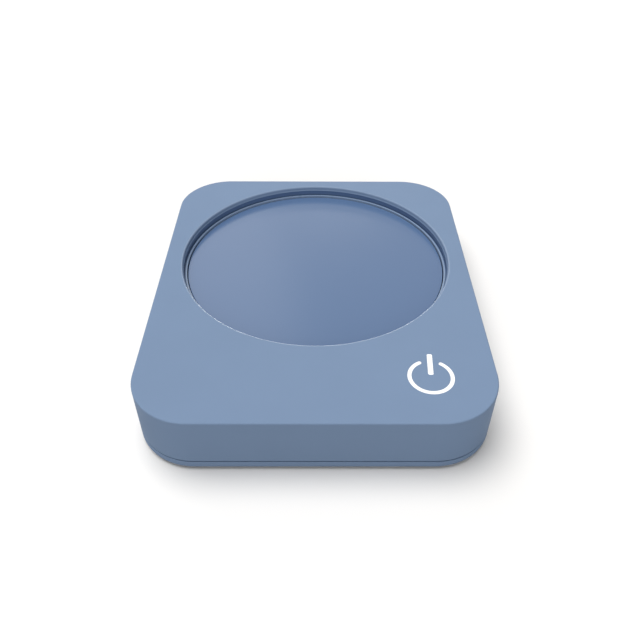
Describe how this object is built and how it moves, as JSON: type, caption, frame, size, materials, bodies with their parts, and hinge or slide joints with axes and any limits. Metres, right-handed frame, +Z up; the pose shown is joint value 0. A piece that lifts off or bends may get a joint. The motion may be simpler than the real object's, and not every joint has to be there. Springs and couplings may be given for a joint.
{
  "type": "electric mug warmer",
  "caption": "Low electric mug warmer with rounded corners; a round glass hot plate floats on springs in a deep recess and presses a switch under a mug; touch power key and back power inlet.",
  "frame": {"origin": "on the table under the centre of the housing, at the level of the feet's undersides", "axes": "+X to the right seen from the front, +Y to the back, where the power inlet is, +Z up"},
  "size_m": [0.115, 0.14, 0.0222],
  "materials": {
    "housing": "fine matte grey-blue moulding",
    "collar": "satin dark blue heat-resistant moulding",
    "trim": "satin grey-blue heat-resistant moulding",
    "plate_glass": "satin glass with an opaque blue back coat",
    "light_guide": "milky translucent white",
    "foot_rubber": "matte",
    "steel": "zinc plated",
    "spring_steel": "drawn wire",
    "inlet_metal": "satin nickel",
    "terminal_metal": "tinned brass",
    "white_plastic": "matte",
    "black_plastic": "matte",
    "red_plastic": "smooth",
    "led": "clear over yellow phosphor",
    "circuit_board": "green solder mask",
    "capacitor_can": "sleeved can",
    "ceramic_chip": "matte",
    "silicone": "cured bead",
    "spreader_metal": "rolled sheet",
    "film": "amber film with an etched track",
    "insulation": "ceramic fibre felt",
    "carrier_plastic": "glass-filled moulding",
    "red_lead": "silicone sleeve",
    "black_lead": "silicone sleeve",
    "white_lead": "silicone sleeve"
  },
  "bodies": {
    "housing": {"top_cover": "housing", "base_cover": "housing", "recess_collar": "collar", "trim_ring": "trim", "collar_screws": "steel", "housing_screws": "steel", "foot_front_left": "foot_rubber", "foot_front_right": "foot_rubber", "foot_back_left": "foot_rubber", "foot_back_right": "foot_rubber", "power_symbol": "light_guide", "light_box": "white_plastic", "touch_spring": "spring_steel", "symbol_leds": "led", "control_board": "circuit_board", "controller_chip": "black_plastic", "heater_transistor": "black_plastic", "board_capacitor": "capacitor_can", "buzzer": "black_plastic", "board_resistors": "ceramic_chip", "wire_headers": "white_plastic", "board_screws": "steel", "inlet_shell": "inlet_metal", "inlet_tongue": "black_plastic", "inlet_board": "circuit_board", "inlet_screws": "steel", "switch_body": "black_plastic", "switch_terminals": "terminal_metal", "plate_spring_right": "spring_steel", "plate_spring_left": "spring_steel", "plate_spring_front": "spring_steel", "inlet_wires": "red_lead", "switch_wires": "black_lead", "heater_wires": "white_lead", "sensor_wires": "white_lead"},
    "hot_plate": {"glass_plate": "plate_glass", "glass_bond": "silicone", "heat_spreader": "spreader_metal", "heating_film": "film", "insulation_pad": "insulation", "temperature_sensor": "ceramic_chip", "thermal_fuse": "ceramic_chip", "plate_carrier": "carrier_plastic"},
    "plunger": {"switch_plunger": "red_plastic"}
  },
  "joints": [
    {"name": "plate_press", "type": "slide", "parent": "housing", "child": "hot_plate", "axis": [0, 0, -1], "range_m": [0, 0.001], "stiffness_N_per_m": 800, "springref_m": -0.0025, "deforming": ["plate_spring_right", "plate_spring_left", "plate_spring_front", "heater_wires", "sensor_wires"]},
    {"name": "plunger_press", "type": "slide", "parent": "housing", "child": "plunger", "axis": [0, 0, -1], "range_m": [0, 0.001], "stiffness_N_per_m": 0.05, "springref_m": -0.0042}
  ],
  "couplings": [
    {"joint": "plunger_press", "follows": "plate_press", "ratio": 1}
  ]
}
